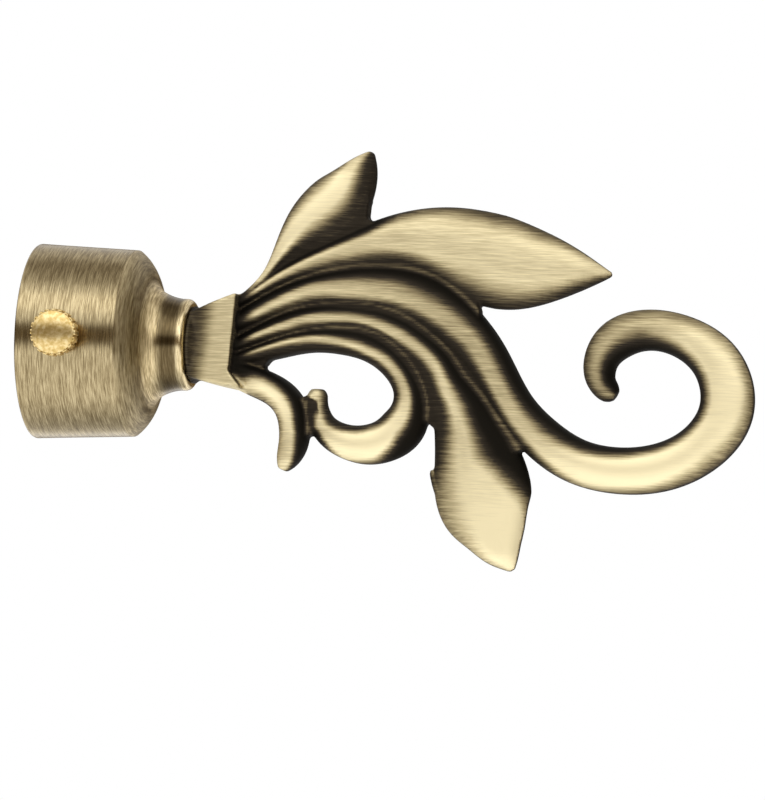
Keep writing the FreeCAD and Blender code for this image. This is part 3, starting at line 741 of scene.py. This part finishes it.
webOutline = [
    (30.0, 6.2), (34.8, 9.2), (40.0, 14.9), (46.5, 21.5), (51.5, 26.5), (53.55, 25.6), (53.4, 23.2),
    (53.2, 20.8), (54.2, 20.2), (58.4, 18.3), (66.7, 14.0), (71.0, 9.8), (72.0, 7.0), (73.0, -0.3),
    (78.6, -8.7), (81.5, -13.5), (79.5, -15.6), (76.0, -16.0), (71.3, -13.9), (68.5, -11.4), (65.2, -12.1),
    (62.0, -9.0), (59.4, -3.4), (54.0, 0.5), (44.7, 1.0), (39.7, -0.2), (37.4, -3.2), (39.4, -7.1),
    (42.2, -9.0), (44.6, -7.6), (46.4, -8.5), (46.8, -11.0), (45.6, -14.0), (42.4, -13.5), (40.8, -9.5),
    (35.9, -5.6), (31.0, -4.0),
]
neck = {
    "seatX": 25.4,
    "footRadius": 6.2,
    "footThickness": 1.0,
    "footRim": 0.5,
    "rampLength": 2.6,
    "rampBow": 3.0,
    "rootTop": 4.85,
    "rootBottom": -5.2,
    "rootHalfDepth": 4.3,
    "collarX": 33.3,
    "collarTop": 8.2,
    "nick": (32.5, -4.3),
    "toe": (34.8, -7.1),
    "collarHalfDepth": 5.4,
    "bow": 60.0,
    "edgeBevel": 0.6,
    "threadHoleRadius": 2.55,
    "threadHoleEnd": 30.9,
    "footSteps": 96,
    "holeSteps": 48,
}
patinaAndPaintedLight = {
    "flank": 0.24,
    # painted highlight lines along the valleys' edges
    "line": 0.56,
    "highlightLineWidth": 0.10,
    "endSlack": 0.5,  # how far past a rib's end it still counts as on it
    "outsideFall": 3.0,  # how fast a rib's claim on a point falls away outside it
    "farthest": 9.0,
    "lowest": -99.0,
    "rootStart": -0.3,
    "rootFade": 3.4,
    "wallFrom": 0.04,
    "wallFade": 0.36,
    "floor": 0.2,
    "floorFrom": 0.25,
    "floorFade": 0.3,
    "valleyFrom": 0.9,
    "valleyFade": 0.6,
    # painted shade on the neck towards the cap, and on the foot
    "neckPaintedShade": 0.34,
    "neckLevel": 0.95,
    "neckFade": 3.8,
    "neckSlant": 0.14,
    "sideFrom": 0.5,
    "sideFade": 0.3,
    "foot": 0.12,
    "footEdge": 0.35,
    "step": 0.44,
    "stepFacing": 0.8,
    "stepFrom": 2.0,
    "stepFade": 1.5,
    "belowNick": 0.2,
    "nickFade": 1.2,
    "nickReach": 0.8,
    "softSteps": 1,
}
pointsAtOnce = 20000  # keeps the distance tables small


# Smooth curve through stations: a natural cubic spline over the distance along them.
def splineThrough(way, values, at):
    way, values, at = (np.asarray(a, float) for a in (way, values, at))
    gaps = np.diff(way)
    count = len(way)
    system = np.eye(count)
    target = np.zeros((count,) + values.shape[1:])
    slopes = np.diff(values, axis=0) / gaps[:, None]
    for i in range(1, count - 1):
        system[i, i - 1:i + 2] = gaps[i - 1], 2 * (gaps[i - 1] + gaps[i]), gaps[i]
        target[i] = 6 * (slopes[i] - slopes[i - 1])
    bend = np.linalg.solve(system, target)
    k = np.clip(np.searchsorted(way, at, side="right") - 1, 0, count - 2)
    left, right, gap = (at - way[k])[:, None], (way[k + 1] - at)[:, None], gaps[k][:, None]
    bent = (bend[k] * right ** 3 + bend[k + 1] * left ** 3) / (6 * gap)
    straight = (values[k] / gap - bend[k] * gap / 6) * right
    return bent + straight + (values[k + 1] / gap - bend[k + 1] * gap / 6) * left


# Height of a rib's face, from 0 at its edges to 1 at the crest, at u across it from -1 to 1.
def faceHeight(u, crest, hollow):
    away = np.where(u > crest, (u - crest) / (1 - crest), (crest - u) / (1 + crest))
    height = np.sqrt(np.clip(1 - away * away, 0, 1))
    return np.where(u > crest, height * (1 - hollow * np.sin(math.pi * np.clip(away, 0, 1)) ** 2), height)


# Fine stations along a rib: place, direction across, half width, crest, hollow, half depth and share
# of the way.
def followRib(rib):
    rows = np.array([(row + (0, 0))[:5] for row in rib["stations"]], float)
    way = np.concatenate([[0], np.cumsum(np.hypot(*np.diff(rows[:, :2], axis=0).T))])
    at = np.linspace(0, way[-1], int(way[-1] / leaf["stationStep"]) + 2)
    fine = splineThrough(way, rows, at)
    halfWidth = np.clip(fine[:, 2], rows[:, 2].min() * 0.9, None)
    along = np.gradient(fine[:, :2], at, axis=0)
    along /= np.hypot(*along.T)[:, None]
    across = np.stack([along[:, 1], -along[:, 0]], 1)
    share = at / at[-1]
    full, root = leaf["fullHalfDepth"], leaf["rootHalfDepth"] / leaf["fullHalfDepth"]
    taper = full + (rib["endHalfDepth"] - full) * share
    halfDepth = taper * (root + (1 - root) * easeIn(at / leaf["rise"]))
    limit = leaf["widthToDepthLimit"] * halfWidth
    limit += rib.get("narrowRibExtra", leaf["narrowRibExtra"]) * (1 - easeIn(at / leaf["narrowRibLength"]))
    halfDepth = halfDepth * limit / (halfDepth ** 4 + limit ** 4) ** 0.25
    return {"place": fine[:, :2], "across": across, "halfWidth": halfWidth, "crest": fine[:, 3],
            "hollow": np.clip(fine[:, 4], 0, 1), "halfDepth": halfDepth, "share": share}


def ribMesh(name, line):
    count, rings = leaf["sectionPoints"], len(line["share"])
    angles = 2 * math.pi * np.arange(count) / count
    u = np.cos(angles)
    points, faces = [], []
    for i in range(rings):
        height = faceHeight(u, line["crest"][i], line["hollow"][i]) * line["halfDepth"][i]
        flat = line["place"][i] + u[:, None] * line["halfWidth"][i] * line["across"][i]
        points += [(x, y, z) for (x, z), y in zip(flat, np.sign(np.sin(angles)) * height)]
    for i in range(rings - 1):
        for k in range(count):
            j = (k + 1) % count
            faces.append((i * count + k, i * count + j, (i + 1) * count + j, (i + 1) * count + k))
    faces.append(tuple(range(count)))
    faces.append(tuple(range((rings - 1) * count, rings * count)))
    mesh = meshFrom(name, np.array(points) * mm, faces)
    facesOutward(mesh)
    return mesh


# A flat outline in the XZ plane, drawn through by a half depth that may change along X.
def slab(name, outline, halfDepthAt):
    count = len(outline)
    points = [(x, side * halfDepthAt(x), z) for side in (-1, 1) for x, z in outline]
    faces = [tuple(range(count)), tuple(range(count, 2 * count))]
    faces += [(i, (i + 1) % count, (i + 1) % count + count, i + count) for i in range(count)]
    mesh = meshFrom(name, np.array(points) * mm, faces)
    facesOutward(mesh)
    return mesh


def neckMesh():
    n = neck
    toeX, toeZ = n["toe"]
    top = arcBetween((n["seatX"], n["rootTop"]), (n["collarX"], n["collarTop"]), n["bow"], bow=1, steps=8)
    bottom = arcBetween((n["seatX"], -n["rootBottom"]), (toeX, -toeZ), n["bow"], bow=1, steps=8)
    outline = top + [n["nick"]] + [(x, -r) for x, r in reversed(bottom)]

    def halfDepthAt(x):
        share = (x - n["seatX"]) / (toeX - n["seatX"])
        return n["rootHalfDepth"] + (n["collarHalfDepth"] - n["rootHalfDepth"]) * share

    mesh = slab("neck", outline, halfDepthAt)
    work = bmesh.new()
    work.from_mesh(mesh)
    near = 0.1 * mm

    def crosses(edge):  # from one face of the neck to the other, or on the seat
        one, other = (v.co for v in edge.verts)
        return abs(one.y - other.y) > 5 * near or max(one.x, other.x) < n["seatX"] * mm + near

    along = [e for e in work.edges if not crosses(e)]
    longEdges = [e for e in along if min(v.co.x for v in e.verts) <= n["nick"][0] * mm - near]
    bmesh.ops.bevel(work, geom=longEdges, offset=n["edgeBevel"] * mm, segments=3, profile=0.6, affect="EDGES")
    bmesh.ops.recalc_face_normals(work, faces=work.faces)
    work.to_mesh(mesh)
    work.free()
    return mesh


# 1 for points of the XZ plane inside a closed outline, 0 for the rest.
def insideOutline(flat, outline):
    inside = np.zeros(len(flat), bool)
    for (x0, z0), (x1, z1) in zip(outline, outline[1:] + outline[:1]):
        if z0 != z1:
            crosses = (flat[:, 1] > min(z0, z1)) & (flat[:, 1] <= max(z0, z1))
            inside ^= crosses & (flat[:, 0] < x0 + (flat[:, 1] - z0) * (x1 - x0) / (z1 - z0))
    return inside.astype(float)


# Where points lie on a rib: the nearest station, the way across from -1 to 1 and the way past its ends.
def placeOnRib(flat, line):
    nearest = np.zeros(len(flat), int)
    for start in range(0, len(flat), pointsAtOnce):
        part = slice(start, start + pointsAtOnce)
        gaps = flat[part, None, :] - line["place"][None, :, :]
        nearest[part] = np.argmin((gaps ** 2).sum(2), 1)
    toPoint = flat - line["place"][nearest]
    across = line["across"][nearest]
    u = (toPoint * across).sum(1) / line["halfWidth"][nearest]
    past = np.abs((toPoint * across[:, ::-1] * [-1, 1]).sum(1))
    return nearest, u, past


# Brushing of the ribs with painted shade and highlights in it, the height of the highest rib at each point
# and the painted highlight lines along left edges.
def ribBrushAndPaintedLight(flat, lines):
    p = patinaAndPaintedLight
    reach, paintedHighlightLine = np.zeros(len(flat)), np.zeros(len(flat))
    bestHeight = np.full(len(flat), p["lowest"])
    for name, line in lines.items():
        nearest, u, past = placeOnRib(flat, line)
        lift = faceHeight(np.clip(u, -1, 1), line["crest"][nearest], line["hollow"][nearest])
        outside = np.clip(np.abs(u) - 1, 0, p["farthest"]) * line["halfWidth"][nearest]
        outside += np.clip(past - p["endSlack"], 0, p["farthest"])
        height = lift * line["halfDepth"][nearest] - p["outsideFall"] * outside
        keys = np.array([(row + (1,))[:6] for row in ribs[name]["patinaAndPaintedLight"]])
        darkLeft, brightLeft, brightRight, darkRight, level = (
            np.interp(line["share"][nearest], keys[:, 0], keys[:, k]) for k in range(1, 6))
        # Real patina on the dark flanks, with painted shade and painted highlights in their placing and
        # level.
        leftFlank = easeIn((u - darkLeft) / (brightLeft - darkLeft))
        rightFlank = easeIn((darkRight - u) / (darkRight - brightRight))
        polished = leftFlank * (rightFlank + p["flank"] * (1 - rightFlank)) * level
        # A painted highlight: a thin bright line along each rib's left edge.
        if ribs[name].get("paintedHighlightLine", True):
            drawn = np.exp(-((u + 1) / p["highlightLineWidth"]) ** 2) * (past < p["endSlack"])
            paintedHighlightLine = np.maximum(paintedHighlightLine, drawn)
        owned = height > bestHeight
        bestHeight = np.where(owned, height, bestHeight)
        reach = np.where(owned, polished, reach)
    return reach, bestHeight, paintedHighlightLine


# Brushing of the neck, with a painted brown shade towards the cap, painted shade on the foot, and dark on the
# collar's step.
def neckBrushAndPaintedShade(place, normal, below):
    p, n = patinaAndPaintedLight, neck
    x, z = place[:, 0], place[:, 2]
    # Painted shade: the neck darkens towards the cap, reaching further out at the top.
    shadeStart = n["seatX"] + p["neckSlant"] * (z - n["rootBottom"])
    paintedShading = p["neckPaintedShade"] + (p["neckLevel"] - p["neckPaintedShade"]) * easeIn((x - shadeStart) / p["neckFade"])
    # Painted shade: the foot is dark where it shows above and below the neck.
    onFoot = (x < n["seatX"] + n["footThickness"] + 0.1) & (
        (z > n["rootTop"] + p["footEdge"]) | (z < n["rootBottom"] - p["footEdge"]))
    towardsCollar = easeIn((x - n["seatX"] - p["stepFrom"]) / p["stepFade"])
    onStep = (normal[:, 0] > p["stepFacing"]) & (towardsCollar > 0)
    sides = easeIn((np.hypot(normal[:, 1], normal[:, 2]) - p["sideFrom"]) / p["sideFade"])
    sides = 1 - (1 - sides) * towardsCollar
    stepReach = p["step"] + (p["nickReach"] - p["step"]) * below
    return np.where(onFoot, p["foot"], np.where(onStep, stepReach, paintedShading * sides))


# Each corner takes half its value from its neighbours, so that no edge between two tones is jagged.
def softened(mesh, values, steps):
    count = len(values)
    ends = np.empty(len(mesh.edges) * 2, int)
    mesh.edges.foreach_get("vertices", ends)
    one, other = ends.reshape(-1, 2).T
    neighbours = np.bincount(one, minlength=count) + np.bincount(other, minlength=count)
    for _ in range(steps):
        around = np.bincount(one, values[other], count) + np.bincount(other, values[one], count)
        values = (values + around / np.maximum(neighbours, 1)) / 2
    return values


# How far the brush reached, with painted shade and painted highlights mixed in: 0 keeps the dark patina and 1
# is brushed bright.
def brushAndPaintedLight(obj, lines):
    p, n = patinaAndPaintedLight, neck
    mesh = obj.data
    place, normal = np.empty(len(mesh.vertices) * 3), np.empty(len(mesh.vertices) * 3)
    mesh.vertices.foreach_get("co", place)
    mesh.vertices.foreach_get("normal", normal)
    place, normal = place.reshape(-1, 3) / mm, normal.reshape(-1, 3)
    x, z = place[:, 0], place[:, 2]
    flat = place[:, [0, 2]]
    reach, bestHeight, paintedHighlightLine = ribBrushAndPaintedLight(flat, lines)
    # The brush misses the roots behind the collar and the plate between the ribs, but it runs on from the
    # neck to the tendril below the nick. The walls at right angles to the plate are dark as patina and as
    # painted shade.
    (nickX, nickZ), (toeX, toeZ) = n["nick"], n["toe"]
    below = easeIn((nickZ + p["belowNick"] - z) / p["nickFade"])
    root = easeIn((x - n["collarX"] - p["rootStart"]) / p["rootFade"])
    reach *= root + (1 - root) * below
    # Painted shade along the outline, together with the walls' patina.
    reach *= easeIn((np.abs(normal[:, 1]) - p["wallFrom"]) / p["wallFade"])
    inWeb = insideOutline(flat, webOutline)
    floor = inWeb * easeIn((leaf["webHalfDepth"] + p["floorFrom"] - bestHeight) / p["floorFade"])
    reach = reach * (1 - floor) + p["floor"] * floor
    # The painted highlight lines show only down in the valleys.
    valley = inWeb * easeIn((leaf["webHalfDepth"] + p["valleyFrom"] - bestHeight) / p["valleyFade"])
    reach = np.maximum(reach, p["line"] * paintedHighlightLine * valley)
    slant = np.clip((nickZ - z) / (nickZ - toeZ), 0, 1) * (toeX - nickX)
    lean = np.clip((z - nickZ) / (n["collarTop"] - nickZ), 0, 1) * (n["collarX"] - nickX)
    onNeck = x < nickX + slant + lean + 0.05
    reach = softened(mesh, np.where(onNeck, neckBrushAndPaintedShade(place, normal, below), reach), p["softSteps"])
    # The attribute carries the brushing together with painted shade and painted highlights.
    polishAndPaintedLight = mesh.attributes.new("polishAndPaintedLight", "FLOAT", "POINT")
    polishAndPaintedLight.data.foreach_set("value", reach.astype(np.float32))


def makeLeaf():
    n = neck
    lines = {name: followRib(rib) for name, rib in ribs.items()}
    work = bmesh.new()
    for name, line in lines.items():
        work.from_mesh(ribMesh(name, line))
    work.from_mesh(slab("web", webOutline, lambda x: leaf["webHalfDepth"]))
    work.from_mesh(neckMesh())
    seat, rampEnd = n["seatX"], n["seatX"] + n["rampLength"]
    rampStart = (seat + n["footRim"], n["footRadius"])
    footProfile = [(seat, 0), (seat, n["footRadius"])]
    footProfile += arcBetween(rampStart, (rampEnd, n["rootHalfDepth"]), n["rampBow"], bow=-1, steps=6)
    footProfile.append((rampEnd, 0))
    foot = turned("foot", footProfile, n["footSteps"])
    work.from_mesh(foot.data)
    bpy.data.objects.remove(foot)
    mesh = bpy.data.meshes.new("leaf_cast")
    work.to_mesh(mesh)
    work.free()
    obj = newObject("leaf_cast", mesh)
    # One skin over all the overlapping forms, as the casting has.
    skin = obj.modifiers.new("skin", "REMESH")
    skin.mode = "VOXEL"
    skin.voxel_size = leaf["voxel"] * mm
    soften = obj.modifiers.new("soften", "SMOOTH")
    soften.factor = leaf["softening"]
    soften.iterations = leaf["softenSteps"]
    bakeModifiers(obj)
    hole = [(seat - 1, 0), (seat - 1, n["threadHoleRadius"]),
            (n["threadHoleEnd"], n["threadHoleRadius"]), (n["threadHoleEnd"], 0)]
    cutWith(obj, turned("thread_hole", hole, n["holeSteps"]))
    obj.data.shade_smooth()
    brushAndPaintedLight(obj, lines)
    print("leaf faces", len(obj.data.polygons))
    return obj


scrollLeaf = makeLeaf()
finish(scrollLeaf, makeAntiqueBrass(), "finial", "antique_brass", "scroll_leaf")
print("scroll leaf made")


# Assembly screw and washer: they sit inside the cap and keep their own shape

steel = makePlatedSteel()
for name in ("assembly_screw", "spring_washer"):
    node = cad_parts[name]
    node.data.materials.clear()
    node.data.materials.append(steel)


# Studio: a pale floor with a painted shadow, soft light and the camera where the photograph was taken from

studio = {
    "azimuth": 13.5,  # degrees, as are elevation and roll
    "elevation": -4.0,
    "roll": 2.5,
    "distance": 2.0,
    "pixelsPerMm": 6.27,
    "originPixel": (39, 341),
    "imageSize": (765, 800),
    "sensor": 36,
    "clip": (0.01, 20),
    "lamps": [  # name, place, width, height and power
        ("key", (-0.15, -0.75, 0.7), 1.0, 0.4, 0.7),
        ("fill", (0.75, -0.7, 0.35), 0.5, 0.5, 0.6),
    ],
    "lampTarget": (0.06, 0, 0),
    "floorDrop": 0.16,
    "floorRadius": 0.6,
    "floorCorners": 96,
    "floorRoughness": 0.6,
    "tones": [(0.0, (0.10, 0.068, 0.03)), (1.0, (1.0, 1.0, 1.0))],
    "softboxGlow": 1.35,
    "gapTop": (0.22, 0.38),
    "gapBottom": (-0.22, -0.06),
    "zenith": (0.84, 0.97),
    "zenithGlow": 0.35,
    "behind": (-0.3, 0.25),
    "behindGlow": 0.5,
    "side": (0.5, 0.9),
    "sideGlow": 0.4,
    "fillStrength": 1.45,
    # painted shadow on the floor: its darkest and palest tone, where it lies and how far it reaches
    "floorTone": (0.34, 0.86),
    "paintedShadowPlace": (0.06, 0.13),
    "paintedShadowReach": (0.04, 0.24),
}


def makeCamera():
    s = studio
    a, e, roll = (math.radians(s[key]) for key in ("azimuth", "elevation", "roll"))
    right = Vector((math.cos(a), math.sin(a), 0))
    up = Vector((-math.sin(a) * math.sin(e), math.cos(a) * math.sin(e), math.cos(e)))
    back = right.cross(up)
    rolledRight = right * math.cos(roll) + up * math.sin(roll)
    rolledUp = up * math.cos(roll) - right * math.sin(roll)
    width, height = s["imageSize"]
    perMetre = s["pixelsPerMm"] / mm
    toCentre = (width / 2 - s["originPixel"][0]) / perMetre, (s["originPixel"][1] - height / 2) / perMetre
    target = rolledRight * toCentre[0] + rolledUp * toCentre[1]
    data = bpy.data.cameras.new("camera")
    data.sensor_width = s["sensor"]
    data.lens = s["sensor"] * s["distance"] * perMetre / height
    data.clip_start, data.clip_end = s["clip"]
    camera = newObject("camera", data)
    camera.matrix_world = Matrix.Translation(target + back * s["distance"]) @ Matrix(
        (rolledRight, rolledUp, back)).transposed().to_4x4()
    bpy.context.scene.camera = camera


def makeFloor():
    s = studio
    low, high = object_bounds()
    level = low.z - s["floorDrop"]
    middle = (low + high) / 2
    ring = [(middle.x + s["floorRadius"] * math.cos(t), middle.y + s["floorRadius"] * math.sin(t), level)
            for t in np.linspace(0, 2 * math.pi, s["floorCorners"] + 1)[:-1]]
    floor = newObject("floor", meshFrom("floor", ring, [tuple(range(s["floorCorners"]))]))
    material, tree, shader = newMaterial("pale_floor")
    # A painted shadow: a soft dark pool on the floor behind the part.
    coords = addNode(tree, "ShaderNodeTexCoord").outputs["Object"]
    away = addNode(tree, "ShaderNodeVectorMath", {0: coords, 1: (*s["paintedShadowPlace"], level)},
                   operation="DISTANCE").outputs["Value"]
    tone = between(tree, away, *s["paintedShadowReach"], *s["floorTone"])
    tree.links.new(tone, shader.inputs["Base Color"])
    shader.inputs["Roughness"].default_value = s["floorRoughness"]
    floor.data.materials.append(material)


def addLamp(name, place, target, width, height, power):
    data = bpy.data.lights.new(name, "AREA")
    data.shape = "RECTANGLE"
    data.size, data.size_y = width, height
    data.energy = power
    lamp = newObject(name, data)
    lamp.location = place
    lamp.rotation_mode = "QUATERNION"
    lamp.rotation_quaternion = (Vector(target) - Vector(place)).to_track_quat("-Z", "Y")


def makeWorld():
    s = studio
    world = bpy.data.worlds.new("studio")
    bpy.context.scene.world = world
    world.use_nodes = True
    tree = world.node_tree
    tree.nodes.clear()
    output = addNode(tree, "ShaderNodeOutputWorld")
    backdrop = addNode(tree, "ShaderNodeBackground", {"Color": (1, 1, 1, 1), "Strength": 1.0})
    # The metal sees the same white all round, with the darker gap of a studio at the height of the camera.
    direction = addNode(tree, "ShaderNodeTexCoord").outputs["Generated"]
    across, depth, height = addNode(tree, "ShaderNodeSeparateXYZ", {"Vector": direction}).outputs
    lit = maths(tree, "MAXIMUM", between(tree, height, *s["gapTop"]),
                between(tree, height, *s["gapBottom"], 1.0, 0.0))
    for way, span, level in ((height, "zenith", "zenithGlow"), (depth, "behind", "behindGlow"),
                             (across, "side", "sideGlow")):
        lit = maths(tree, "MULTIPLY", lit, between(tree, way, *s[span], 1.0, s[level]))
    seen = addNode(tree, "ShaderNodeBackground", {
        "Color": ramp(tree, lit, s["tones"]), "Strength": s["softboxGlow"]})
    fill = addNode(tree, "ShaderNodeBackground", {"Color": (1, 1, 1, 1), "Strength": s["fillStrength"]})
    path = addNode(tree, "ShaderNodeLightPath").outputs
    soft = addNode(tree, "ShaderNodeMixShader", {
        0: path["Is Glossy Ray"], 1: fill.outputs[0], 2: seen.outputs[0]})
    plain = maths(tree, "MAXIMUM", path["Is Camera Ray"], path["Is Transmission Ray"])
    final = addNode(tree, "ShaderNodeMixShader", {0: plain, 1: soft.outputs[0], 2: backdrop.outputs[0]})
    tree.links.new(final.outputs[0], output.inputs["Surface"])


makeCamera()
makeFloor()
makeWorld()
for name, place, width, height, power in studio["lamps"]:
    addLamp(name, place, studio["lampTarget"], width, height, power)
bpy.context.scene.view_settings.view_transform = "Standard"
print("studio ready")
